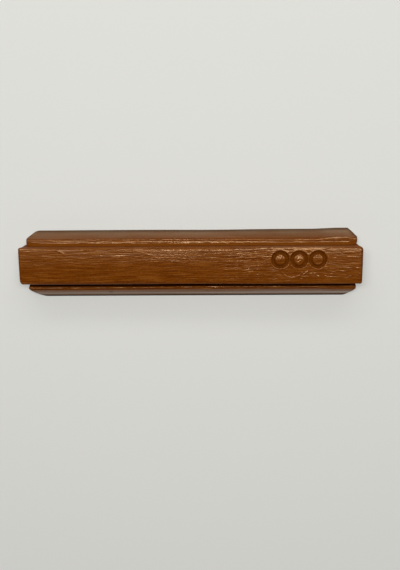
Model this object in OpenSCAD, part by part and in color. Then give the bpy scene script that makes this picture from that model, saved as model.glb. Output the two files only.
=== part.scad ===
/* [Stick] */
// Length of the stick over the ends of its raised bar, at the back
stick_l = 80; // [50:0.5:150]
// Height from the flat back to the crown of the bar
stick_h = 7.2; // [5.5:0.1:12]

/* [Base] */
// Width of the flat back
base_w = 16.2; // [15.6:0.1:30]
// Height from the back to the lands beside the bar
base_h = 2.5; // [1.8:0.1:4]
// Height of the blunt edge at the foot of each long side
foot_h = 0.2; // [0.1:0.05:0.6]
// Distance that each long side leans in above its blunt edge
side_lean = 1.9; // [0.4:0.1:2.1]
// Distance that each end of the base stops short of the bar's end
end_setback = 0.4; // [0.2:0.05:1.5]
// Size of the slanted cut across each corner of the base
corner_cut = 2; // [0.5:0.1:3.4]
// Radius where a corner cut runs into the long side
corner_r = 2; // [0.5:0.1:3.5]

/* [Bar] */
// Width of the bar at the back
bar_w = 8.9; // [6:0.1:9.4]
// Distance that each wall of the bar leans in on its way up
bar_lean = 0.15; // [0.05:0.05:0.5]
// Rise of the crown over the rolled edges
crown_h = 0.1; // [0.05:0.05:0.4]
// Radius of the rolled edge around the bar's top
edge_r = 0.4; // [0.2:0.05:1]
// Radius of the bar's four upright corners
upright_r = 0.6; // [0.3:0.05:1.5]
// Radius of the web between the bar's corner and the end of the base
web_r = 0.4; // [0.2:0.05:0.8]

/* [Grooves and lands] */
// Width of the floor of the groove between the bar and each land
groove_w = 0.75; // [0.4:0.05:0.95]
// Depth of the groove below the land
groove_d = 0.8; // [0.3:0.05:1.2]
// Distance that the groove's outer wall leans out on its way up
groove_lean = 0.1; // [0.05:0.05:0.3]
// Width of the fine channel along the middle of each land
channel_w = 0.4; // [0.2:0.05:0.5]
// Depth of the fine channel
channel_d = 0.1; // [0.05:0.01:0.18]

/* [Hidden] */

// Arcs are smooth, and the shallow crown is a short stretch of a very large circle
$fn = 96;
crown_facets = 720;
// A cut runs past the surface that it opens by this much
overrun = 1;

half_l = stick_l / 2;
half_base = base_w / 2;
half_bar = bar_w / 2;
base_end = half_l - end_setback;
land_out = half_base - side_lean;
groove_floor = base_h - groove_d;
groove_out = half_bar + groove_w;
land_in = groove_out + groove_lean;
land_mid = (land_in + land_out) / 2;
shoulder_h = stick_h - crown_h;

// Radius of the circle that rises by h over a chord of width w
function bulge_r(w, h) = (w * w / 4 + h * h) / (2 * h);

// Half width of the flat that is left between the rolled edges of a face w wide at its foot
function flat_half(w) =
    let (slope = atan(bar_lean / shoulder_h))
    w / 2 - bar_lean - edge_r * (1 - sin(slope)) / cos(slope);

module both_ways() {
    children();
    mirror([1, 0]) children();
}

module four_ways() {
    both_ways() children();
    mirror([0, 1]) both_ways() children();
}

// A shape drawn across the stick, Y to the right and Z up, run along X
module along_x(length) {
    rotate([90, 0, 90]) translate([0, 0, -length / 2]) linear_extrude(length) children();
}

// A shape drawn along the stick, X to the right and Z up, run along Y
module along_y(length) {
    rotate([90, 0, 0]) translate([0, 0, -length / 2]) linear_extrude(length) children();
}

// Upright outline of the bar, w wide at the back, with leaning walls and rolled top edges
module leaning_outline(w) {
    slope = atan(bar_lean / shoulder_h);
    flat_x = flat_half(w);
    roll_y = shoulder_h - edge_r;
    tangent = [flat_x + edge_r * cos(slope), roll_y + edge_r * sin(slope)];
    polygon([
        [-w / 2, 0], [w / 2, 0],
        tangent, [flat_x, shoulder_h],
        [-flat_x, shoulder_h], [-tangent.x, tangent.y]
    ]);
    both_ways() translate([flat_x, roll_y]) circle(edge_r);
}

// Low crown that joins the rolled edges across the top of the bar
module crown_outline() {
    flat_x = flat_half(bar_w);
    crown_r = bulge_r(2 * flat_x, crown_h);
    intersection() {
        translate([0, stick_h - crown_r]) circle(crown_r, $fn = crown_facets);
        translate([-flat_x, shoulder_h - edge_r]) square([2 * flat_x, edge_r + crown_h]);
    }
}

// Outline of the bar from above, with rounded corners
module bar_plan() {
    corner_x = half_l - upright_r;
    corner_y = half_bar - upright_r;
    translate([-half_l, -corner_y]) square([stick_l, 2 * corner_y]);
    translate([-corner_x, -half_bar]) square([2 * corner_x, bar_w]);
    four_ways() translate([corner_x, corner_y]) circle(upright_r);
}

// Raised bar, from the back to its crown
module bar() {
    intersection() {
        along_x(stick_l) {
            leaning_outline(bar_w);
            crown_outline();
        }
        along_y(bar_w) {
            leaning_outline(stick_l);
            translate([-flat_half(stick_l), 0]) square([2 * flat_half(stick_l), stick_h]);
        }
        linear_extrude(stick_h) bar_plan();
    }
}

// Section of the base: leaning sides, lands with a fine channel, and the slot that the bar
// stands in, whose margins are the two grooves
module base_section() {
    channel_r = bulge_r(channel_w, channel_d);
    slot_top = base_h + overrun;
    slot_out = groove_out + groove_lean * (slot_top - groove_floor) / groove_d;
    difference() {
        polygon([
            [-half_base, 0], [half_base, 0],
            [half_base, foot_h], [land_out, base_h],
            [-land_out, base_h], [-half_base, foot_h]
        ]);
        polygon([
            [-groove_out, groove_floor], [groove_out, groove_floor],
            [slot_out, slot_top], [-slot_out, slot_top]
        ]);
        both_ways() translate([land_mid, base_h - channel_d + channel_r]) circle(channel_r);
    }
}

// Outline of the base from above: its corners are cut, and each cut is eased into the long side
module base_plan() {
    cut_x = base_end - corner_cut;
    cut_y = half_base - corner_cut;
    ease = corner_r * tan(45 / 2);
    ease_x = cut_x - ease;
    ease_dx = ease * cos(45);
    polygon([
        [base_end, -cut_y], [base_end, cut_y],
        [cut_x + ease_dx, half_base - ease_dx], [ease_x, half_base],
        [-ease_x, half_base], [-cut_x - ease_dx, half_base - ease_dx],
        [-base_end, cut_y], [-base_end, -cut_y],
        [-cut_x - ease_dx, -half_base + ease_dx], [-ease_x, -half_base],
        [ease_x, -half_base], [cut_x + ease_dx, -half_base + ease_dx]
    ]);
    four_ways() translate([ease_x, half_base - corner_r]) circle(corner_r);
}

module base() {
    intersection() {
        along_x(stick_l) base_section();
        linear_extrude(base_h) base_plan();
    }
}

// Webs that round the inner corners between the ends of the base and the corners of the bar
module end_webs() {
    corner_y = half_bar - upright_r;
    web_x = base_end + web_r;
    arc_x = min(half_l - upright_r, web_x);
    reach = upright_r + web_r;
    web_dx = web_x - arc_x;
    web_dy = sqrt(reach * reach - web_dx * web_dx);
    web_y = corner_y + web_dy;
    touch = [arc_x + upright_r * web_dx / reach, corner_y + upright_r * web_dy / reach];
    back_x = base_end - web_r;
    linear_extrude(groove_floor)
        four_ways() difference() {
            polygon([
                [back_x, corner_y], [back_x, web_y],
                [base_end, web_y], touch, [arc_x, corner_y]
            ]);
            translate([web_x, web_y]) circle(web_r);
        }
}

// The whole stick is one casting: a bar that stands on a wider base
module wax_stick() {
    color("#6b3a12") {
        bar();
        base();
        end_webs();
    }
}

wax_stick();
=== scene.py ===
import math

import bmesh
import bpy
import numpy as np
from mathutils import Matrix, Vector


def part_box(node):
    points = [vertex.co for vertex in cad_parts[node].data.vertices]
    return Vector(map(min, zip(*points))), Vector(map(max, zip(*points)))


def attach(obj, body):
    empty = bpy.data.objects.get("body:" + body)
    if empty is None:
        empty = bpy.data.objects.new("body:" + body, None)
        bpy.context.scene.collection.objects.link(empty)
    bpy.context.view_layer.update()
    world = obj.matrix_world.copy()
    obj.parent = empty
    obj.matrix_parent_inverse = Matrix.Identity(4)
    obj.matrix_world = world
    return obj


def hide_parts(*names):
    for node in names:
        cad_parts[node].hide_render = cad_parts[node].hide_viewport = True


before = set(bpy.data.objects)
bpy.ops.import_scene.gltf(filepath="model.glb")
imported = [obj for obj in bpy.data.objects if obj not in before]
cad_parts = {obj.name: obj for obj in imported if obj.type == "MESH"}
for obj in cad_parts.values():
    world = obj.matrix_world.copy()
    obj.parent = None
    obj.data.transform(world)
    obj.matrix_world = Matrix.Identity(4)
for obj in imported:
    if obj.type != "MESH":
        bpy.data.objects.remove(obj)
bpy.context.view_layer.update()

lo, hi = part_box("wax_stick")

# The stick's own geometry is in millimetres and is turned into metres at the end. X runs along the stick and
# Y across it towards the far side, both from the middle of its back, and Z up from its back.
MM = 0.001

# Outer sizes, read from the frame
HALF_L = (hi.x - lo.x) / 2 / MM
HALF_BASE = (hi.y - lo.y) / 2 / MM
STICK_H = (hi.z - lo.z) / MM

# Section of the stick, as in the CAD
BASE_H = 2.5
FOOT_H = 0.2
SIDE_LEAN = 1.9
END_SETBACK = 0.4
HALF_BAR = 4.45
BAR_LEAN = 0.15
CROWN_H = 0.1
EDGE_R = 0.4
GROOVE_W = 0.75
GROOVE_D = 0.8
GROOVE_LEAN = 0.1

BASE_END = HALF_L - END_SETBACK
LAND_OUT = HALF_BASE - SIDE_LEAN
GROOVE_FLOOR = BASE_H - GROOVE_D
GROOVE_OUT = HALF_BAR + GROOVE_W
LAND_IN = GROOVE_OUT + GROOVE_LEAN
SHOULDER_H = STICK_H - CROWN_H

# The top edge of the bar: radius of its roll, and how far the top slumps towards it
ROLL_R = 0.22
SLUMP = 0.34
# The worked face lies this much below the drawn shoulder, so that its marks stay near the drawn height
FACE_SINK = 0.06

# The cast grooves: side to the distance of the slope's foot and top from the middle, and the floor's height
COVE = {-1: (4.95, 5.5, GROOVE_FLOOR), 1: (4.52, 4.93, BASE_H - 0.12)}
# The bar's ends stand a little steeper than drawn, which brings their top edges out by this much
END_GAIN = 0.17
# The lines along the stick are drawn in to the shape of each end over this distance
END_BLEND = 8.0
# The near side of the base runs in towards the right by this much per millimetre
NEAR_TAPER = 0.003

# Each corner has worn and filled a little differently: (end, side) to its radius
BAR_CORNER_R = {(-1, -1): 0.95, (-1, 1): 0.6, (1, -1): 0.65, (1, 1): 1.1}
BASE_EASE_R = {(-1, -1): 4.6, (-1, 1): 2.2, (1, -1): 1.5, (1, 1): 0.4}
BASE_CUT = {(-1, -1): 2.28, (-1, 1): 1.82, (1, -1): 2.1, (1, 1): 1.8}
WEB_R = 0.75

# How far the wall of the bar has leaned in where its top edge begins to roll
EDGE_Y = HALF_BAR - BAR_LEAN + BAR_LEAN * EDGE_R / SHOULDER_H
TOP_LEAN = HALF_BAR - EDGE_Y

# Points across the top of the bar: in each rolled edge, and on the flat between them
ROLL_POINTS = 8
FLAT_POINTS = 88
# Rows of points down a wall of the bar and down an end of the base, as parts of its height
BAR_ROWS = [1, 0.975, 0.93, 0.86, 0.77, 0.66, 0.54, 0.42, 0.3, 0.2, 0.1, 0.03, 0.0]
BASE_ROWS = [1, 0.8, 0.6, 0.4, 0.2, 0.05, 0.0]
# The lowest rows are tucked in a little, which blunts the lower edges
BAR_TUCKS = {0.03: 0.02, 0.0: 0.08}
BASE_TUCK = 0.08
# The bar block ends just above the back, so that its underside lies inside the base
BAR_FOOT = 0.005


class Noise:
    """Smooth gradient noise in two dimensions, from about -1 to 1, the same for the same seed."""

    SIZE = 256
    # Brings the noise to its full range
    STRETCH = 1.6

    def __init__(self, seed):
        rng = np.random.RandomState(seed)
        self.table = rng.permutation(self.SIZE)
        angle = rng.uniform(0, 2 * math.pi, self.SIZE)
        self.gx, self.gy = np.cos(angle), np.sin(angle)

    def corner(self, ix, iy, dx, dy):
        pick = self.table[(self.table[ix % self.SIZE] + iy) % self.SIZE]
        return self.gx[pick] * dx + self.gy[pick] * dy

    def __call__(self, x, y):
        x, y = np.broadcast_arrays(np.asarray(x, float), np.asarray(y, float))
        ix, iy = np.floor(x).astype(int), np.floor(y).astype(int)
        fx, fy = x - ix, y - iy
        u = fx ** 3 * (fx * (fx * 6 - 15) + 10)
        v = fy ** 3 * (fy * (fy * 6 - 15) + 10)
        near = self.corner(ix, iy, fx, fy) * (1 - u) + self.corner(ix + 1, iy, fx - 1, fy) * u
        far = self.corner(ix, iy + 1, fx, fy - 1) * (1 - u) + self.corner(ix + 1, iy + 1, fx - 1, fy - 1) * u
        return (near * (1 - v) + far * v) * self.STRETCH


def smooth(low, high, x):
    """Runs from 0 at low to 1 at high, with soft ends; low may be the greater."""
    t = np.clip((x - low) / (high - low), 0, 1)
    return t * t * (3 - 2 * t)


def bell(x, width):
    """A soft bump, 1 where x is 0."""
    return np.exp(-(x / width) ** 2)


def crests(n, width):
    """Thin raised lines where the noise n passes zero."""
    return bell(n, width)


# Relief of the worked face

# Marks near the right end: the low ring of a mould insert, and the swirl of the gate inside it
INSERT_AT = (23.9, 0.15)
INSERT_R = 3.0
INSERT_RIDGE = 0.045
GATE_AT = (25.4, 1.1)
GATE_HEIGHT = 0.05

# Three plain pressed rings: their places, the height of the low dome inside each, and their stroke and rim
PRESSED = [(21.15, 1.3, 0.12), (25.45, 1.3, 0.12), (29.75, 1.3, 0.06)]
PRESSED_R = 1.62
PRESSED_STROKE = 0.92
PRESSED_DEPTH = 0.5
PRESSED_RIM = 0.032

# The longest creases of the face, where the photo has them: points, width and height of each
CREASES = [
    ([(32.6, -2.2), (33.5, -1.75), (34.3, -1.15)], 0.1, 0.034),
    ([(31.2, -2.5), (33.2, -2.8), (35.2, -3.05), (36.5, -2.95), (37.5, -2.3)], 0.1, 0.034),
    ([(26.5, -2.3), (27.6, -1.2), (28.0, -0.2)], 0.12, 0.04),
    ([(-31.8, 3.95), (-30.6, 3.55), (-29.2, 2.95)], 0.12, 0.038),
    ([(-24.5, 3.66), (-23.3, 3.7), (-21.8, 3.66)], 0.1, 0.03),
    ([(-22.0, 2.36), (-17.0, 2.26), (-12.5, 2.3)], 0.1, 0.014),
    ([(-13.2, 3.7), (-11.5, 3.3), (-9.8, 2.7), (-8.0, 2.2), (-6.6, 1.4)], 0.12, 0.018),
    ([(-4.7, 3.0), (-3.9, 2.2), (-3.3, 1.4), (-2.4, 0.4)], 0.14, 0.015),
    ([(-29.8, 0.86), (-27.1, 0.74)], 0.1, 0.02),
    ([(-26.4, 0.55), (-22.5, 0.42), (-20.0, 0.46)], 0.1, 0.014),
]


def flow_shift(x, y):
    """How far the flow lines wander across the stick: little on the calm left third."""
    lively = 0.12 + 0.88 * smooth(-22, -6, x)
    wander = Noise(11)(x / 17, y / 7) * 0.5 + Noise(12)(x / 6.5, y / 3.2) * 0.25
    part_round = 0.5 * bell(x - INSERT_AT[0], 5.5) * np.tanh((y - INSERT_AT[1]) / 1.5)
    return wander * lively - part_round


def face_wrinkles(x, y):
    """Height of the flow wrinkles on the bar's top."""
    v = y + flow_shift(x, y)

    # Where the face is lively, rough or calm
    far_side = smooth(-0.6, 2.6, y)
    lively = smooth(-24, -8, x)
    rougher = smooth(4, 13, x) * (1 - smooth(-3.0, -3.8, y)) * (1 - 0.5 * smooth(28.5, 31.5, x))
    right_end = smooth(29.5, 32.5, x) * (1 - 0.5 * smooth(-2.5, -3.6, y))
    near_right = smooth(2, 12, x) * smooth(0.8, -0.8, y) * (1 - 0.3 * smooth(29, 31, x))
    near_middle = 0.4 * smooth(-16, -8, x) * (1 - smooth(2, 12, x)) * smooth(0.2, -1.0, y)
    patch = smooth(-0.25, 0.35, Noise(25)(x / 7, y / 2.6))
    slant_patch = smooth(0.0, 0.45, Noise(26)(x / 8, y / 3))
    calm_edge = smooth(1.6, 3.0, y) * (1 - smooth(2, 10, x)) * (1 + 0.7 * bell(x + 1, 8))
    calm_middle = bell(y + 0.6, 1.6) * (1 - smooth(6, 14, x))
    calm_right = smooth(29, 33, x) * smooth(-1.0, 0.5, y)
    calm = 1 - np.maximum.reduce([0.35 * calm_edge, 0.35 * calm_middle, 0.1 * calm_right])

    # The kinds of line and grain
    long_lines = crests(Noise(21)(x / 11, v / 0.55), 0.16)
    short_lines = crests(Noise(23)(x / 2.2, v / 0.4), 0.2)
    slanted = crests(Noise(24)((x + 1.2 * y) / 1.4, (v + 0.25 * x) / 0.4), 0.2)
    crossed = crests(Noise(30)((x - 0.8 * y) / 1.2, (v - 0.4 * x) / 0.4), 0.2)
    grain = Noise(22)(x / 4.5, v / 0.33)
    fibres = Noise(28)(x / 1.5, v / 0.26)
    end_lines = crests(Noise(29)(x / 3.2, (y - 0.12 * x) / 0.4), 0.22)
    near_lines = crests(Noise(45)((x + 0.3 * y) / 2.6, v / 0.5), 0.32)
    bent_y = y + 0.1 * (x - 33) + 0.03 * (x - 33) ** 2
    curved = crests(Noise(47)(x / 4.5, bent_y / 0.55), 0.24)

    far_short = patch * far_side * (0.25 + 0.75 * lively)
    short_share = np.maximum.reduce([far_short, 0.3 * right_end, 1.3 * rougher])
    slant_share = np.maximum(slant_patch * np.maximum(far_side * lively, 1.2 * rougher), 0.2 * right_end)
    height = 0.013 * long_lines * (0.6 + 0.4 * far_side)
    height += 0.012 * short_lines * short_share
    height += 0.015 * slanted * slant_share
    height += 0.012 * crossed * far_side * bell(x + 1, 9)
    height += 0.012 * grain * (0.65 + 0.35 * lively)
    height += 0.005 * fibres
    height += 0.008 * end_lines * right_end
    height = height * calm + 0.026 * near_lines * (near_right + near_middle)
    height += 0.019 * curved * smooth(28.5, 30, x) * smooth(1.2, -0.2, y)
    # The face also waves a little as a whole
    return height + 0.025 * Noise(27)(x / 13, y / 4.5)


def pressed_marks(x, y):
    """Height of the three pressed rings, and how far they take the place of the wrinkles."""
    height = np.zeros_like(x)
    cover = np.zeros_like(x)
    for cx, cy, dome in PRESSED:
        r = np.hypot(x - cx, y - cy)
        t = np.abs(r - PRESSED_R) / (PRESSED_STROKE / 2)
        height -= PRESSED_DEPTH * (1 - smooth(0.3, 1.05, t))
        height += PRESSED_RIM * bell(t - 1.25, 0.28)
        height += dome * np.maximum(1 - (r / (PRESSED_R - PRESSED_STROKE / 2)) ** 2, 0)
        cover = np.maximum(cover, 1 - smooth(0.9, 1.6, t))
    return height, cover


def insert_ring(x, y):
    """Low ridge left round a mould insert, with the small swirl of the gate inside it."""
    r = np.hypot(x - INSERT_AT[0], y - INSERT_AT[1])
    ridge = INSERT_RIDGE * bell(r - INSERT_R, 0.12)
    gate_x, gate_y = x - GATE_AT[0], y - GATE_AT[1]
    gate_r, turn = np.hypot(gate_x, gate_y), np.arctan2(gate_y, gate_x)
    swirl = GATE_HEIGHT * np.cos(turn * 2 + gate_r * 7) * bell(gate_r, 0.75)
    return ridge + swirl


def crease(x, y, points, width, height):
    """A thin raised crease along a bent line."""
    best = np.full_like(x, np.inf)
    for (x0, y0), (x1, y1) in zip(points, points[1:]):
        px, py = x1 - x0, y1 - y0
        t = np.clip(((x - x0) * px + (y - y0) * py) / (px * px + py * py), 0, 1)
        best = np.minimum(best, np.hypot(x - x0 - t * px, y - y0 - t * py))
    return height * bell(best, width)


def face_relief(x, y):
    """Height of everything on the bar's top: wrinkles, insert ring, pressed rings and creases."""
    pressed, cover = pressed_marks(x, y)
    within = 1 - smooth(INSERT_R + 0.15, INSERT_R + 0.5, np.hypot(x - INSERT_AT[0], y - INSERT_AT[1]))
    height = face_wrinkles(x, y) * (1 - np.maximum(0.75 * cover, 0.6 * within))
    height += insert_ring(x, y) * (1 - cover) + pressed
    for points, width, rise in CREASES:
        height += crease(x, y, points, width, rise)
    return height


# Relief of the base

def near_channel(x):
    """Distance of the fine channel in the near land from the middle."""
    return 6.05 + 0.17 * (1 - smooth(-28, -16, x)) - 0.15 * smooth(-4, 6, x)


def far_even(x):
    """How evenly the far land runs: most in the middle of the stick."""
    return bell(x - 2, 11)


def land_relief(x, y):
    """Height of the lip, the fine channel, the inner crest and the wrinkles on a land."""
    side = np.sign(y)
    near = side < 0
    even = far_even(x) * (side > 0)
    far_left = (1 - smooth(-28.5, -25.5, x)) * (side > 0)
    right_end = smooth(31, 34, x)
    a = np.abs(y) + 0.03 * Noise(31)(x / 2.3, side * 3) + 0.05 * Noise(32)(x / 9, side * 5)

    # The outer lip, which is broken in places
    broken = smooth(-0.35, 0.1, Noise(33)(x / 2.6, side * 7))
    far_lip = 0.027 - 0.007 * smooth(-18, -10, x) - 0.01 * right_end
    lip = np.where(near, 0.014, far_lip) * bell(a - np.where(near, 5.78, 5.70), 0.095) * (0.4 + 0.6 * broken)

    # The fine channel along the land
    near_deep = 0.03 + 0.03 * (1 - smooth(-14, -2, x))
    channel = -np.where(near, near_deep, 0.03) * bell(a - np.where(near, near_channel(x), 5.46), 0.11)

    # The crest along the inner edge, which strays and comes and goes
    far_inner = COVE[1][1] + 0.04 - 0.14 * smooth(-18, -6, x) + 0.42 * right_end
    inner = np.where(near, COVE[-1][1] + 0.14, far_inner)
    inner = inner - 0.1 * far_left
    stray = np.where(near, 0.06, 0.1 - 0.07 * far_even(x))
    inner = inner + stray * np.tanh(6 * Noise(39)(x / 4.5, side * 3))
    far_tall = 0.027 + 0.015 * smooth(-18, -6, x) - 0.024 * right_end
    tall = np.where(near, 0.07 * (1 - right_end), far_tall)
    dashes = smooth(-0.12, 0.04, Noise(40)(x / 3.3, side * 17))
    ripple = 0.85 + 0.2 * Noise(34)(x / 1.1, side * 9) * (1 - 0.85 * even)
    uneven = np.where(near, 0.6 + 0.4 * dashes, (0.35 + 0.65 * dashes) * ripple)
    broad = tall * bell(a - inner, 0.2) * uneven

    # Long strands and short wrinkles
    strands = 0.022 * crests(Noise(44)(x / 5.5, a / 0.42), 0.4) * (side > 0) * (1 - 0.6 * even)
    left_line = 0.03 * far_left * bell(a - 5.4, 0.1)
    rough = 1 - np.abs(Noise(35)((x + 2 * a) / 0.9, a / 0.24)) * 2.2
    amount = smooth(-0.5, 0.5, Noise(36)(x / 5, side * 11) + 0.01 * x)
    amount = amount * np.where(near, 0.35 * (1 - right_end), 0.4 + 0.6 * smooth(-30, -24, x))
    amount = amount * (1 - 0.85 * even)
    wrinkles = 0.024 * bell(a - inner - 0.08, 0.3) * rough * amount
    return lip + channel + broad + strands + left_line + wrinkles


def edge_shift(x, side):
    """How far the ragged inner edge of a land strays sideways, outwards."""
    ragged = 0.05 * Noise(37)(x / 1.6, side * 13) + 0.05 * Noise(38)(x / 6, side * 15)
    near = (0.07 - 0.06 * bell(x - 12, 9)) * (side < 0)
    return near + ragged * (1 - 0.75 * far_even(x) * (side > 0))


def left_swell(x):
    """How far the near edges of the bar and of the land stand out on the left."""
    return 0.1 * (1 - smooth(-24, 2, x))


def pit(x, y):
    """Shape of the one small pit in the near bevel, 1 at its middle."""
    return bell(x + 19.4, 0.45) * bell(y + 6.95, 0.2)


def side_drift(x, y):
    """How far the cast sides of the base lie off their drawn place, outwards."""
    near = -NEAR_TAPER * x * smooth(4.7, 4.95, -y)
    near += left_swell(x) * smooth(4.8, 5.0, -y) * (1 - smooth(6.4, 7.5, -y))
    near += 0.2 * smooth(31, 35, x) * smooth(5.6, 6.2, -y) * (1 - smooth(6.6, 7.6, -y))
    far = 0.2 * smooth(29, 36, x) * smooth(5.6, 6.0, y)
    far -= 0.18 * smooth(0, 22, x) * smooth(4.9, 5.2, y) * (1 - smooth(6.2, 7.6, y))
    bulge = 0.3 * smooth(30, 34, x) * (1 - smooth(37, 39, x))
    far += bulge * smooth(5.5, 6.0, y) * (1 - smooth(6.4, 7.9, y))
    far -= 0.09 * bell(x - 5, 10) * smooth(6.2, 7.6, y)
    return near + far


# Lines of points

def eased_path(corners):
    """Points along a path; each corner is (y, z, radius, points in the arc, points on the run after it)."""
    last = len(corners) - 1
    places = [np.array(c[:2], float) for c in corners]
    starts, ends = [], []
    for i, (_, _, radius, _, _) in enumerate(corners):
        here = places[i]
        if i in (0, last) or radius == 0:
            starts.append(here)
            ends.append(here)
            continue
        back = places[i - 1] - here
        on = places[i + 1] - here
        back /= np.linalg.norm(back)
        on /= np.linalg.norm(on)
        half = math.acos(np.clip(back @ on, -1, 1)) / 2
        reach = radius / math.tan(half)
        starts.append(here + back * reach)
        ends.append(here + on * reach)

    pts = []
    for i, (_, _, radius, arc, run) in enumerate(corners):
        here = places[i]
        if radius and 0 < i < last:
            middle = here + (starts[i] + ends[i] - 2 * here) * 0.5
            axis = middle - here
            reach = np.linalg.norm(starts[i] - here)
            half = math.acos(np.clip(np.linalg.norm(axis) / reach, -1, 1))
            centre = here + axis / np.linalg.norm(axis) * reach / math.cos(half)
            from_centre = starts[i] - centre
            to_centre = ends[i] - centre
            t0 = math.atan2(from_centre[1], from_centre[0])
            t1 = math.atan2(to_centre[1], to_centre[0])
            turn = (t1 - t0 + math.pi) % (2 * math.pi) - math.pi
            for k in range(arc):
                t = t0 + turn * k / arc
                pts.append(centre + radius * np.array([math.cos(t), math.sin(t)]))
        pts.append(ends[i])
        if i < last:
            for k in range(1, run):
                pts.append(ends[i] + (starts[i + 1] - ends[i]) * k / run)
    return np.array(pts)


def stations():
    """Places along the stick, closer together at the ends and among the marks."""
    end = [0, 0.02, 0.06, 0.12, 0.2, 0.3, 0.42, 0.56, 0.72, 0.9]
    marks_from, marks_to = 18.6, 32.4
    return np.concatenate([
        [-HALF_L + e for e in end],
        np.arange(-HALF_L + 1.1, marks_from, 0.25),
        np.arange(marks_from, marks_to, 0.14),
        np.arange(marks_to, HALF_L - 1.0, 0.22),
        [HALF_L - e for e in reversed(end)],
    ])


def fitted_x(xs, end_x):
    """Places along each line of points, drawn in near the ends to where end_x says that the line ends."""
    rows = []
    for x in xs:
        end = 1 if x > 0 else -1
        keep = max(0.0, 1 - (HALF_L - abs(x)) / END_BLEND)
        rows.append(x - end * (HALF_L - end_x(end)) * keep)
    return np.array(rows)


# Building the solid blocks

class Shell:
    """Collects grids of points, joined into quads, that together close a solid."""

    # Points nearer than this are one point, and edges shorter than this are dropped
    SAME = 0.0015
    SLIVER = 0.0005
    # Gaps with up to this many edges, left where slivers were dropped, are filled
    SMALL_GAP = 6

    def __init__(self):
        self.points = []
        self.faces = []
        self.count = 0

    def grid(self, p):
        """Adds rows of points as a surface."""
        rows, cols = p.shape[:2]
        self.points.append(p.reshape(-1, 3))
        i, j = np.meshgrid(np.arange(rows - 1), np.arange(cols - 1), indexing="ij")
        a = self.count + i * cols + j
        quads = np.stack([a, a + 1, a + cols + 1, a + cols], axis=-1).reshape(-1, 4)
        self.faces.extend(quads.tolist())
        self.count += rows * cols

    def underside(self, loop):
        """Adds one flat face inside a loop of points."""
        self.points.append(loop)
        self.faces.append(list(range(self.count, self.count + len(loop)))[::-1])
        self.count += len(loop)

    def mesh(self, name):
        """The closed mesh, in metres."""
        mesh = bpy.data.meshes.new(name)
        mesh.from_pydata((np.concatenate(self.points) * MM).tolist(), [], self.faces)
        bm = bmesh.new()
        bm.from_mesh(mesh)
        bmesh.ops.remove_doubles(bm, verts=bm.verts, dist=self.SAME * MM)
        bmesh.ops.dissolve_degenerate(bm, dist=self.SLIVER * MM, edges=bm.edges)
        gaps = [e for e in bm.edges if not e.is_manifold]
        bmesh.ops.holes_fill(bm, edges=gaps, sides=self.SMALL_GAP)
        bmesh.ops.recalc_face_normals(bm, faces=bm.faces)
        if not all(e.is_manifold for e in bm.edges):
            raise ValueError(name + " is not closed")
        bm.to_mesh(mesh)
        bm.free()
        return mesh


def bar_outline(x, y, lean):
    """How far a point lies inside the bar's outline from above, which shrinks by lean."""
    inside = np.full(np.broadcast(x, y).shape, 1e9)
    x, y = np.broadcast_arrays(x, y)
    for (end, side), r in BAR_CORNER_R.items():
        here = (x * end >= 0) & (y * side >= 0)
        qx = x * end - (HALF_L - r)
        qy = y * side - (HALF_BAR - r)
        outside = np.hypot(np.maximum(qx, 0), np.maximum(qy, 0))
        inward = np.minimum(np.maximum(qx, qy), 0)
        d = (r - lean) - outside - inward
        inside = np.where(here, d, inside)
    return inside


def slump_reach(x, y):
    """How far in from its edge the top of the bar begins to slope down."""
    far = 0.4 + 0.22 * smooth(-36, -31, x) + 0.24 * smooth(-14, -4, x)
    far = far - 0.56 * smooth(10, 20, x) + 0.31 * smooth(31, 34, x)
    far = far * (1 + 0.11 * Noise(43)(x / 3.5, 0.3))
    return np.where(y > 0, far, 0.7)


def bar_end_x(y, end, lean):
    """Where a line along the stick at y meets the end of the bar."""
    x = np.full(y.shape, HALF_L - lean)
    for side in (-1, 1):
        r = BAR_CORNER_R[(end, side)]
        cy = HALF_BAR - r
        q = y * side - cy
        reach = r - lean
        x = np.where(q > 0, HALF_L - r + np.sqrt(np.maximum(reach * reach - q * q, 0)), x)
    return x


def bar_top():
    """Grid of points over the top of the bar, out to where its rolled edges begin."""
    roll = EDGE_Y - EDGE_R * (1 - np.sin(np.linspace(0, math.pi / 2, ROLL_POINTS)))
    flat = np.linspace(-roll[0], roll[0], FLAT_POINTS)
    ys = np.concatenate([-roll[:0:-1], flat, roll[1:]])
    xs = stations()
    x = fitted_x(xs, lambda end: bar_end_x(ys, end, TOP_LEAN))
    y = np.broadcast_to(ys, x.shape)

    outline = np.maximum(bar_outline(x, y, TOP_LEAN), 0)
    inside = np.minimum(outline, ROLL_R)
    drop = ROLL_R - np.sqrt(ROLL_R ** 2 - (ROLL_R - inside) ** 2)
    power = 1.65 + 0.5 * smooth(-14, -4, x)
    drop += SLUMP * (1 - np.minimum(outline / slump_reach(x, y), 1)) ** power
    # Beside the pressed rings the edge is worn down a little more
    among_marks = smooth(17, 20, x) * (1 - smooth(30.5, 32, x)) * (y > 0)
    drop += 0.036 * np.clip((0.56 - outline) / 0.26, 0, 1) * among_marks
    crown = CROWN_H * np.maximum(1 - (y / roll[0]) ** 2, 0)
    soften = smooth(0.0, 0.35, outline)
    z = SHOULDER_H + crown - drop + face_relief(x, y) * soften - FACE_SINK * soften

    x = x + END_GAIN * np.sign(x) * smooth(END_BLEND, 0, HALF_L - np.abs(xs))[:, None]
    y = y - (left_swell(x) + 0.08 * smooth(0, 14, x)) * smooth(3.3, 4.2, -y)
    return np.stack([x, y, z], axis=-1)


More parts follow.
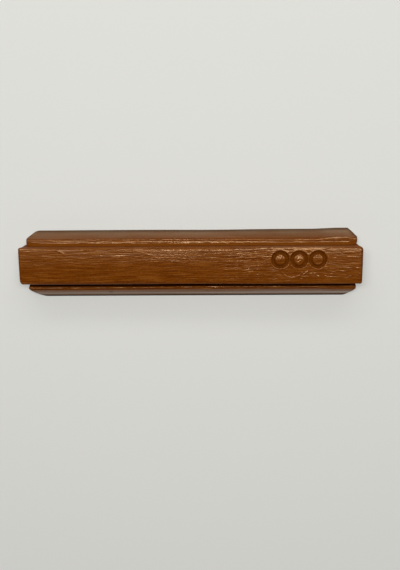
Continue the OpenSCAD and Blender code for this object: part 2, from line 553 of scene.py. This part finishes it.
def wall_centres(edge):
    """For each point of an edge of the bar, the point that its wall faces away from."""
    centre = edge[:, :2].copy()
    for (end, side), r in BAR_CORNER_R.items():
        cx, cy = end * (HALF_L - r), side * (HALF_BAR - r)
        here = (centre[:, 0] * end >= 0) & (centre[:, 1] * side >= 0)
        centre[here, 0] = np.where(centre[here, 0] * end > cx * end, cx, centre[here, 0])
        centre[here, 1] = np.where(centre[here, 1] * side > cy * side, cy, centre[here, 1])
    return centre


def bar_wall(edge):
    """Rows of points from an edge of the top down to the back, which move outwards as the wall leans."""
    away = edge[:, :2] - wall_centres(edge)
    away = away / np.linalg.norm(away, axis=1, keepdims=True)
    rows = []
    for level in BAR_ROWS:
        z = BAR_FOOT + (edge[:, 2] - BAR_FOOT) * level
        lean = TOP_LEAN - BAR_LEAN * z / SHOULDER_H if level < 1 else np.zeros_like(z)
        wave = 0.02 * Noise(42)(edge[:, 0] / 7 + edge[:, 1], z / 2.5) * min(1, 4 * level * (1 - level))
        xy = edge[:, :2] + away * (lean + wave - BAR_TUCKS.get(level, 0.0))[:, None]
        # Low on the far wall, a small web runs out at each end
        web = 0.4 * (1 - smooth(2.0, 5.6, z)) * bell(np.abs(xy[:, 0]) - HALF_L, 1.3)
        xy[:, 1] += web * smooth(HALF_BAR - 1.0, HALF_BAR - 0.25, xy[:, 1])
        xy[:, 0] = np.clip(xy[:, 0], -HALF_L - 0.06, HALF_L + 0.06)
        rows.append(np.column_stack([xy, z]))
    return np.array(rows)


def bar_mesh():
    """The raised bar, as a closed block that reaches down into the base."""
    shell = Shell()
    top = bar_top()
    shell.grid(top)
    loops = []
    for edge in (top[:, 0], top[-1, :], top[::-1, -1], top[0, ::-1]):
        wall = bar_wall(edge)
        shell.grid(wall)
        loops.append(wall[-1, :-1])
    shell.underside(np.concatenate(loops))
    return shell.mesh("bar")


def base_end_x(y, end):
    """Where a line along the stick at y meets the end of the base."""
    a = np.abs(y)
    x = np.full(y.shape, BASE_END)
    for side in (-1, 1):
        r = BASE_EASE_R[(end, side)]
        cut = BASE_CUT[(end, side)]
        cut_y = HALF_BASE - cut
        x = np.where((a > cut_y) & (y * side > 0), BASE_END - (a - cut_y), x)
        ease_x = BASE_END - cut - r * math.tan(math.pi / 8)
        start_y = HALF_BASE - r * (1 - math.cos(math.pi / 4))
        q = np.clip(a - (HALF_BASE - r), 0, r)
        here = (a > start_y) & (y * side > 0)
        x = np.where(here, ease_x + np.sqrt(np.maximum(r * r - q * q, 0)), x)
        rb = BAR_CORNER_R[(end, side)]
        web_x = BASE_END + WEB_R
        arc_x = min(HALF_L - rb, web_x)
        web_y = HALF_BAR - rb + math.sqrt((rb + WEB_R) ** 2 - (web_x - arc_x) ** 2)
        touch_y = HALF_BAR - rb + rb * (web_y - HALF_BAR + rb) / (rb + WEB_R)
        bend = np.clip(web_y - a, 0, WEB_R)
        web = web_x - np.sqrt(np.maximum(WEB_R ** 2 - bend ** 2, 0))
        here = (a < web_y) & (y * side >= 0)
        x = np.where(here & (a >= touch_y), web, x)
        touch = web_x - math.sqrt(max(WEB_R ** 2 - (web_y - touch_y) ** 2, 0))
        x = np.where(here & (a < touch_y), min(touch, BASE_END) - 0.05 * (touch_y - a), x)
    return x


def base_half(side):
    """Section of one side of the base, from under the bar to the foot, with Y away from the middle."""
    foot, top, floor = COVE[side]
    half = eased_path([
        (3.2, floor + 0.35, 0, 0, 1),
        (4.2, floor + 0.35, 0, 0, 1),
        (foot - (0.1 if side > 0 else 0.4), floor, 0.06, 3, 2),
        (foot, floor + 0.02, 0.06, 3, 4),
        (top, BASE_H, 0.12, 4, 11 if side > 0 else 7),
        (LAND_OUT - (0.3 if side > 0 else 0.05), BASE_H, 0.3, 6, 8),
        (HALF_BASE, FOOT_H, 0.12, 4, 1),
        (HALF_BASE, 0.0, 0.08, 3, 1),
        (HALF_BASE - 0.12, 0.0, 0, 0, 1),
    ])
    # The bevel takes its points closer together near the foot, where the corners are round
    bevel_at = np.argmax(half[:, 0] > LAND_OUT + 0.15)
    low = np.argmax(half[:, 0] > HALF_BASE - 0.12)
    t = np.linspace(0, 1, 16)[1:-1]
    start, stop = half[bevel_at - 1], half[low]
    run = stop + (start - stop) * (1 - t[:, None]) ** 1.7
    return np.concatenate([half[:bevel_at], run, half[low:]])


def base_top():
    """Grid of points over the grooves, lands and bevels of the base, from foot to foot."""
    section = np.concatenate([base_half(-1)[::-1] * [-1, 1], base_half(1)])
    ys, zs = section[:, 0], section[:, 1]
    xs = stations()
    x = fitted_x(xs, lambda end: base_end_x(ys, end))
    y = np.broadcast_to(ys, x.shape).copy()
    z = np.broadcast_to(zs, x.shape).copy()
    side = np.sign(ys)
    a = np.abs(ys)
    gap = HALF_L - np.abs(xs)
    end_fade = smooth(0.0, 1.2, gap)[:, None]

    # Lands
    inner = np.where(side < 0, COVE[-1][1], COVE[1][1])
    on_land = smooth(inner - 0.2, inner, a) * (1 - smooth(LAND_OUT - 0.1, LAND_OUT + 0.1, a))
    high = smooth(GROOVE_FLOOR + 0.2, BASE_H - 0.25, zs)
    z += land_relief(x, y) * on_land * high * (0.3 + 0.7 * end_fade)
    inner_edge = bell(a - inner, 0.22) * high
    y += side * inner_edge * edge_shift(x, np.broadcast_to(side, x.shape)) * end_fade
    y += side * side_drift(x, y)
    # The right end of the base stands out a little more than drawn
    x += smooth(36.5, 38, x) * smooth(4.8, 5.2, np.abs(y)) * np.where(y < 0, 0.17, 0.1)

    # Soft waves in the bevels and in the groove floors, and the pit in the near bevel
    on_bevel = smooth(LAND_OUT, LAND_OUT + 0.3, a) * (1 - smooth(HALF_BASE - 0.4, HALF_BASE - 0.05, a))
    z += on_bevel * (0.02 * Noise(51)(x / 11, y / 2.5) - 0.01) * end_fade
    on_floor = (1 - smooth(GROOVE_OUT - 0.15, GROOVE_OUT, a)) * (a > 4.3)
    z += on_floor * 0.02 * Noise(52)(x / 4, y / 0.9) * end_fade
    z -= 0.12 * pit(x, y)

    # Rounded edge at each end
    round_r = np.minimum(0.14, 0.4 * zs)
    into = np.clip(gap[:, None], 0, round_r)
    z -= round_r - np.sqrt(np.maximum(round_r ** 2 - (round_r - into) ** 2, 0))
    return np.stack([x, y, np.maximum(z, 0)], axis=-1)


def base_wall(edge, end):
    """Rows of points from an end of the base's upper side down to the back."""
    rows = []
    for level in BASE_ROWS:
        row = edge * [1, 1, level]
        if level == 0:
            room = np.clip((HALF_BASE - 0.12 - np.abs(row[:, 1])) * 4, 0, 1)
            row[:, 0] -= end * BASE_TUCK * room
        rows.append(row)
    return np.array(rows)


def base_mesh():
    """The wider base, as a closed block."""
    shell = Shell()
    top = base_top()
    shell.grid(top)
    right = base_wall(top[-1, :], 1)
    left = base_wall(top[0, ::-1], -1)
    shell.grid(right)
    shell.grid(left)
    shell.underside(np.concatenate([top[:-1, 0], right[-1, :-1], top[:0:-1, -1], left[-1, :-1]]))
    return shell.mesh("base")


def joined(bar, base):
    """One closed skin from the two blocks."""
    skin = bpy.data.objects.new("skin", base)
    block = bpy.data.objects.new("bar_block", bar)
    for part in (skin, block):
        bpy.context.scene.collection.objects.link(part)
    union = skin.modifiers.new("join", "BOOLEAN")
    union.operation = "UNION"
    union.solver = "MANIFOLD"
    union.object = block
    depsgraph = bpy.context.evaluated_depsgraph_get()
    mesh = bpy.data.meshes.new_from_object(skin.evaluated_get(depsgraph))
    mesh.name = "wax_skin"
    for part in (skin, block):
        bpy.data.objects.remove(part)
    if max(v.co.z for v in mesh.vertices) < BASE_H * 2 * MM:
        raise ValueError("the bar is missing from the joined skin")
    return mesh


# Layers that tell the material what lies where

SHARP_ANGLE = math.radians(42)
# Points farther than this from the middle belong to the base, and points nearer to the bar
BAR_OUT = 4.6


def vectors(items, name):
    """A vector of every item, as rows of numbers."""
    numbers = np.empty(len(items) * 3)
    items.foreach_get(name, numbers)
    return numbers.reshape(-1, 3)


def end_rim_shade(mesh, x, y, z):
    """Where the skin turns over the ends of the base and of the bar, which gets painted shade."""
    ends = np.where(x < 0, base_end_x(y, -1), base_end_x(y, 1))
    on_base = (np.abs(y) > BAR_OUT) * (z < BASE_H + 0.1)
    base_rim = (1 - smooth(0.06, 0.3, ends - np.abs(x))) * on_base
    bar_rim = (1 - smooth(0.05, 0.3, HALF_L - 0.04 - np.abs(x))) * (z > BASE_H + 0.1)
    upward = smooth(-0.05, 0.35, vectors(mesh.vertex_normals, "vector")[:, 2])
    return upward * np.maximum(base_rim, bar_rim)


def surface_layers(mesh):
    """Name of each layer to its strength at every point of the skin."""
    x, y, z = vectors(mesh.vertices, "co").T / MM
    a = np.abs(y)
    near, far = y < 0, y > 0
    below_lands = z < BASE_H + 0.1
    left = 1 - smooth(-20, -8, x)

    # The worked top of the bar and the lands, and how crisp their finest grain is
    worked = smooth(SHOULDER_H - 0.5, SHOULDER_H - 0.1, z)
    land = smooth(LAND_IN - 0.1, LAND_IN, a) * (1 - smooth(LAND_OUT - 0.05, LAND_OUT + 0.1, a))
    land *= smooth(BASE_H - 0.3, BASE_H - 0.1, z)
    calm_face = smooth(1.5, -0.5, y) * (1 - smooth(4, 16, x))
    calm_land = np.where(far, 0.8 * bell(x - 2, 12), 0.5)
    crisp_face = worked * (1 - np.maximum(0.45 * calm_face, 0.4 * left))

    # Painted reflection of the floor on the bevels, greyish and stronger towards the foot, with painted
    # highlight lines along the near one, and painted contact shade along the foot
    low = smooth(LAND_OUT + 0.2, HALF_BASE - 0.6, a)
    rim = np.where(near, LAND_OUT + 0.05, LAND_OUT - 0.1)
    painted_reflection = smooth(0, 0.23, a - rim) * np.where(near, 0.4 + 0.3 * low, 0.5 + 0.4 * low)
    # Painted highlight lines along the near bevel
    pale = near * bell(a - 7.24 + NEAR_TAPER * x, 0.22) * (0.5 + 0.28 * smooth(-8, 12, x))
    pale += near * bell(a - 6.75, 0.14) * 0.3 * smooth(10, 22, x) * (1 - smooth(31, 35, x))
    foot = (1 - smooth(0.45, 0.95, z)) * np.where(near, 1, 0.6)

    # The duller walls and lips of the bar
    wall_out = BAR_OUT + 0.7 * smooth(37, 38.5, np.abs(x))
    walls = (1 - smooth(SHOULDER_H - 0.48, SHOULDER_H - 0.15, z)) * (1 - smooth(0, 0.3, a - wall_out))
    far_lip = smooth(4.15, 4.3, y) * (a < BAR_OUT) * (z > SHOULDER_H - 1)
    near_lip = 0.9 * smooth(3.85, 4.1, -y) * (a < BAR_OUT) * smooth(-20, -4, x)
    # Painted bounce light in the far groove; half of it also lies on the far lip
    groove = smooth(4.2, 4.5, y) * (1 - smooth(4.9, 5.05, y)) * below_lands

    # Painted shade: in the near groove, in the strokes of the rings, in the pit, and in fine lines along the
    # near edge of the bar and along the lands
    slot_in = -COVE[-1][1]
    slot = smooth(slot_in - 0.05, slot_in + 0.1, y) * (1 - smooth(-4.45, -4.25, y))
    slot *= 1 - smooth(BASE_H - 0.15, BASE_H + 2, z)
    pressed, _ = pressed_marks(x, y)
    stroke = 0.35 * smooth(0.1, 0.9, -pressed / PRESSED_DEPTH) * (z > SHOULDER_H - 1)
    edge_line = 0.16 * bell(y + 3.95, 0.1) * (1 - smooth(-24, -4, x)) * worked
    channel_line = near * bell(a - near_channel(x), 0.12) * (0.2 + 0.2 * (1 - smooth(-4, 6, x)))
    rim_line = far * bell(a - 6.02, 0.1) * (0.36 - 0.16 * smooth(-18, -6, x))
    base_lines = (channel_line + rim_line) * (z > BASE_H - 0.3)

    # The ends of the bar's top, which are lighter
    left_end = 0.55 * (1 - smooth(-36, -29, x)) * smooth(-2.5, 0.5, y)
    right_end = 0.4 * smooth(14, 20, x) + 0.6 * smooth(29, 33, x)

    return {
        "worked": np.maximum(worked, land),
        "crisp": np.maximum(crisp_face, land * (1 - calm_land)),
        "straight": worked * left,
        "netted": worked * bell(x + 1, 9) * smooth(-0.4, 1.2, y),
        "light_end": worked * (left_end + right_end),
        "painted_reflection": painted_reflection,
        "pale": pale,
        # Painted contact shade along the foot, and painted shade over the rims of the ends
        "foot": np.maximum(foot, 0.6 * end_rim_shade(mesh, x, y, z)),
        "sheer": np.maximum.reduce([walls, near_lip, 0.65 * far_lip]),
        "groove": np.maximum(groove, 0.5 * far_lip),
        "slot": np.maximum.reduce([slot, stroke, edge_line, base_lines, pit(x, y)]),
    }


def shade(mesh):
    """Smooth shading with sharp edges kept, and the layers for the material."""
    mesh.polygons.foreach_set("use_smooth", np.ones(len(mesh.polygons), bool))
    mesh.set_sharp_from_angle(angle=SHARP_ANGLE)
    for name, strength in surface_layers(mesh).items():
        layer = mesh.attributes.new(name, "FLOAT", "POINT")
        layer.data.foreach_set("value", strength)


# Material of the wax

# Colours of the wax, and of the painted reflection, highlights, shade and bounce light on it, as linear red,
# green and blue
DEEP = (0.137, 0.0315, 0.0008)
WARM = (0.170, 0.0430, 0.0016)
PATCH = (0.158, 0.036, 0.0010)
FLECK = (0.092, 0.018, 0.0004)
DARK_HAIR = (0.088, 0.0165, 0.0002)
LIGHT_THREAD = (0.232, 0.071, 0.008)
DARK_SPECK = (0.100, 0.0195, 0.0003)
LIGHT_SPECK = (0.200, 0.056, 0.004)
END_HAIR = (0.098, 0.0195, 0.0003)
PAINTED_REFLECTION_GREY = (0.200, 0.122, 0.071)
PAINTED_HIGHLIGHT_GREY = (0.40, 0.33, 0.28)
FOOT_SHADE_COLOUR = (0.012, 0.006, 0.002)
GROOVE_BOUNCE_LIGHT = (0.212, 0.064, 0.006)
PAINTED_SHADE_COLOUR = (0.02, 0.003, 0.0006)
SPECULAR_TINT = (1.0, 0.66, 0.37)


def wax_material():
    """Brown wax with darker and lighter streaks, painted reflection and highlights on the bevels, painted
    shade and bounce light, and a satin shine.
    """
    mat = bpy.data.materials.new("wax")
    mat.use_nodes = True
    nodes, links = mat.node_tree.nodes, mat.node_tree.links
    nodes.clear()
    out = nodes.new("ShaderNodeOutputMaterial")
    wax = nodes.new("ShaderNodeBsdfPrincipled")
    links.new(wax.outputs[0], out.inputs[0])
    where = nodes.new("ShaderNodeTexCoord").outputs["Object"]

    def layer(name):
        node = nodes.new("ShaderNodeAttribute")
        node.attribute_name = name
        return node.outputs["Fac"]

    def noise(scale, detail=2.0, rough=0.5, distort=0.0):
        """Noise with cells of the given size in millimetres along X, Y and Z."""
        move = nodes.new("ShaderNodeMapping")
        move.inputs["Scale"].default_value = [1 / (s * MM) for s in scale]
        links.new(where, move.inputs["Vector"])
        tex = nodes.new("ShaderNodeTexNoise")
        tex.inputs["Scale"].default_value = 1.0
        tex.inputs["Detail"].default_value = detail
        tex.inputs["Roughness"].default_value = rough
        tex.inputs["Distortion"].default_value = distort
        links.new(move.outputs[0], tex.inputs["Vector"])
        return tex.outputs["Fac"]

    def spread(value, low, high, to_low=0.0, to_high=1.0):
        """Brings a value from one range to another, with soft ends."""
        node = nodes.new("ShaderNodeMapRange")
        node.interpolation_type = "SMOOTHSTEP"
        for name, number in (("From Min", low), ("From Max", high), ("To Min", to_low), ("To Max", to_high)):
            node.inputs[name].default_value = number
        links.new(value, node.inputs["Value"])
        return node.outputs[0]

    def calculated(kind, a, b):
        node = nodes.new("ShaderNodeMath")
        node.operation = kind
        for socket, value in zip(node.inputs, (a, b)):
            if isinstance(value, (int, float)):
                socket.default_value = value
            else:
                links.new(value, socket)
        return node.outputs[0]

    def times(a, b):
        return calculated("MULTIPLY", a, b)

    def plus(a, b):
        return calculated("ADD", a, b)

    def without(amount):
        return calculated("SUBTRACT", 1.0, amount)

    def mix(fac, a, b):
        """A colour that goes from a to b as fac goes from 0 to 1."""
        node = nodes.new("ShaderNodeMix")
        node.data_type = "RGBA"
        links.new(fac, node.inputs["Factor"])
        colours = [socket for socket in node.inputs if socket.type == "RGBA"]
        for socket, value in zip(colours, (a, b)):
            if isinstance(value, tuple):
                socket.default_value = (*value, 1)
            else:
                links.new(value, socket)
        return next(socket for socket in node.outputs if socket.type == "RGBA")

    worked = layer("worked")
    straight = layer("straight")
    netted = layer("netted")
    light_end = layer("light_end")
    foot = layer("foot")
    sheer = layer("sheer")
    slot = layer("slot")

    # Colour: broad streaks and patches first, then fine lines, then what lies on single places: painted
    # reflection and highlights, the lighter ends, painted shade and painted bounce light
    colour = mix(spread(noise((9, 0.45, 0.8), 3, 0.6, 0.4), 0.35, 0.68), DEEP, WARM)
    colour = mix(spread(noise((16, 4, 4)), 0.35, 0.7, 0.0, 0.5), colour, PATCH)
    colour = mix(spread(noise((1.6, 0.3, 0.5), 2, 0.6), 0.6, 0.8, 0.0, 0.35), colour, FLECK)
    hairs = times(spread(noise((8.0, 0.22, 0.9), 1, 0.5, 0.1), 0.5, 0.6), worked)
    colour = mix(times(hairs, 0.7), colour, DARK_HAIR)
    threads = times(spread(noise((6.0, 0.22, 0.8), 1, 0.5, 0.1), 0.52, 0.62), worked)
    colour = mix(times(threads, 0.8), colour, LIGHT_THREAD)
    speckle = noise((0.5, 0.3, 0.45), 1)
    colour = mix(spread(speckle, 0.52, 0.7, 0.0, 0.4), colour, DARK_SPECK)
    colour = mix(spread(speckle, 0.48, 0.3, 0.0, 0.4), colour, LIGHT_SPECK)
    # Painted reflection of the floor on the bevels, in patches
    cloudy = times(layer("painted_reflection"), spread(noise((6, 1.5, 1.5), 3), 0.2, 0.8, 0.6, 1.0))
    colour = mix(cloudy, colour, PAINTED_REFLECTION_GREY)
    # Painted highlight lines along the near bevel
    colour = mix(layer("pale"), colour, PAINTED_HIGHLIGHT_GREY)
    colour = mix(times(light_end, 0.4), colour, LIGHT_SPECK)
    end_hairs = times(spread(noise((3.2, 0.25, 0.9), 1, 0.5, 0.2), 0.52, 0.6), light_end)
    colour = mix(times(end_hairs, 0.6), colour, END_HAIR)
    # Painted shade along the foot and over the rims of the ends
    colour = mix(times(foot, 0.9), colour, FOOT_SHADE_COLOUR)
    # Painted bounce light in the far groove and on the far lip
    colour = mix(times(layer("groove"), 0.75), colour, GROOVE_BOUNCE_LIGHT)
    # Painted shade in the near groove, the ring strokes, the pit and the fine lines
    colour = mix(times(slot, 0.75), colour, PAINTED_SHADE_COLOUR)
    links.new(colour, wax.inputs["Base Color"])

    # Shine: satin on the worked face, duller on the foot, the walls and the ends, and weaker in the painted
    # shade
    rough = spread(noise((5, 0.6, 0.9), 3), 0.3, 0.7, 0.11, 0.17)
    rough = plus(rough, times(foot, 0.5))
    rough = plus(rough, times(sheer, 0.35))
    rough = plus(rough, times(light_end, 0.03))
    rough = plus(rough, times(netted, 0.045))
    links.new(rough, wax.inputs["Roughness"])
    shine = spread(sheer, 0.0, 1.0, 0.5, 0.06)
    shine = times(shine, without(times(times(hairs, straight), 0.55)))
    # Less shine where the shade is painted
    shine = times(shine, without(times(slot, 0.7)))
    links.new(shine, wax.inputs["Specular IOR Level"])
    wax.inputs["IOR"].default_value = 1.5
    wax.inputs["Specular Tint"].default_value = (*SPECULAR_TINT, 1)
    wax.inputs["Subsurface Weight"].default_value = 0.08
    wax.inputs["Subsurface Radius"].default_value = (1.0, 0.35, 0.12)
    wax.inputs["Subsurface Scale"].default_value = 0.0006

    # The finest grain, too fine for the mesh: heights are in metres
    crisp = times(layer("crisp"), 0.016 * MM)
    height = times(noise((0.9, 0.32, 0.4), 1, 0.5, 0.3), crisp)
    height = plus(height, times(noise((14, 0.22, 0.12)), 0.005 * MM))
    height = plus(height, times(noise((0.35, 0.2, 0.2)), 0.006 * MM))
    net = times(noise((0.5, 0.36, 0.4), 1, 0.5, 0.5), netted)
    height = plus(height, times(net, 0.03 * MM))
    lines = times(noise((5.0, 0.24, 0.4), 1), straight)
    height = plus(height, times(lines, 0.016 * MM))
    bump = nodes.new("ShaderNodeBump")
    bump.inputs["Strength"].default_value = 1.0
    bump.inputs["Distance"].default_value = 1.0
    links.new(height, bump.inputs["Height"])
    links.new(bump.outputs[0], wax.inputs["Normal"])
    return mat


def plain_material(name, colour, roughness):
    """A material of one colour."""
    mat = bpy.data.materials.new(name)
    mat.use_nodes = True
    shader = mat.node_tree.nodes["Principled BSDF"]
    shader.inputs["Base Color"].default_value = (*colour, 1)
    shader.inputs["Roughness"].default_value = roughness
    return mat


def make_stick():
    """The whole stick as one piece in place of the CAD solid."""
    skin_mesh = joined(bar_mesh(), base_mesh())
    shade(skin_mesh)
    skin = bpy.data.objects.new("wax_skin", skin_mesh)
    bpy.context.scene.collection.objects.link(skin)
    skin_mesh.materials.clear()
    skin_mesh.materials.append(wax_material())
    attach(skin, "root")
    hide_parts("wax_stick")


# Floor, lamps and camera

def make_floor():
    """A pale matt sheet under the stick."""
    half = 1.5
    corners = [(-half, -half, 0), (half, -half, 0), (half, half, 0), (-half, half, 0)]
    mesh = bpy.data.meshes.new("floor")
    mesh.from_pydata(corners, [], [(0, 1, 2, 3)])
    floor = bpy.data.objects.new("floor", mesh)
    bpy.context.scene.collection.objects.link(floor)
    mesh.materials.append(plain_material("paper", (0.76, 0.765, 0.745), 0.9))


def softbox(name, near, far, half_width, height, radiance, colour):
    """A level soft lamp between two distances across the stick, in metres, which the camera doesn't see."""
    lamp = bpy.data.lights.new(name, "AREA")
    lamp.shape = "RECTANGLE"
    lamp.size, lamp.size_y = 2 * half_width, abs(far - near)
    lamp.energy = radiance * math.pi * lamp.size * lamp.size_y
    lamp.color = colour
    light = bpy.data.objects.new(name, lamp)
    light.location = (0, (near + far) / 2, height)
    light.visible_camera = False
    bpy.context.scene.collection.objects.link(light)


def make_lights():
    """A dim room with soft lamps, most of them from straight above to the far side."""
    world = bpy.data.worlds.new("room")
    bpy.context.scene.world = world
    world.use_nodes = True
    room = world.node_tree.nodes["Background"]
    room.inputs["Color"].default_value = (0.95, 0.98, 1.0, 1)
    room.inputs["Strength"].default_value = 0.05
    lamp_white = (1.0, 0.985, 0.95)
    day_white = (1.0, 0.99, 0.96)
    softbox("overhead", -0.025, 0.02, 0.3, 0.6, 0.35, lamp_white)
    softbox("overhead_mid", 0.02, 0.065, 0.3, 0.6, 2.0, lamp_white)
    softbox("overhead_far", 0.065, 0.11, 0.3, 0.6, 3.4, lamp_white)
    softbox("window", 0.11, 0.19, 0.35, 0.59, 14.0, day_white)
    softbox("far_wall", 0.19, 0.7, 0.8, 0.6, 0.5, lamp_white)
    softbox("far_strip", 0.75, 1.2, 0.7, 0.6, 2.6, day_white)
    softbox("front_fill", -1.4, -0.5, 0.8, 0.6, 0.3, (1.0, 0.99, 0.97))


def make_camera():
    """The camera stands where the photograph was taken from, as fitted to the stick's outline."""
    focal_px, frame_h, sensor = 500.0, 570.0, 36.0
    cam = bpy.data.cameras.new("camera")
    cam.sensor_width = sensor
    cam.lens = focal_px / frame_h * sensor
    cam.clip_start, cam.clip_end = 0.005, 10
    camera = bpy.data.objects.new("camera", cam)
    camera.location = (7.28 * MM, 12.1 * MM, 122.12 * MM)
    camera.rotation_euler = [math.radians(a) for a in (-8.238, 2.24, -0.46)]
    bpy.context.scene.collection.objects.link(camera)
    bpy.context.scene.camera = camera


make_stick()
make_floor()
make_lights()
make_camera()
bpy.context.scene.view_settings.view_transform = "Standard"
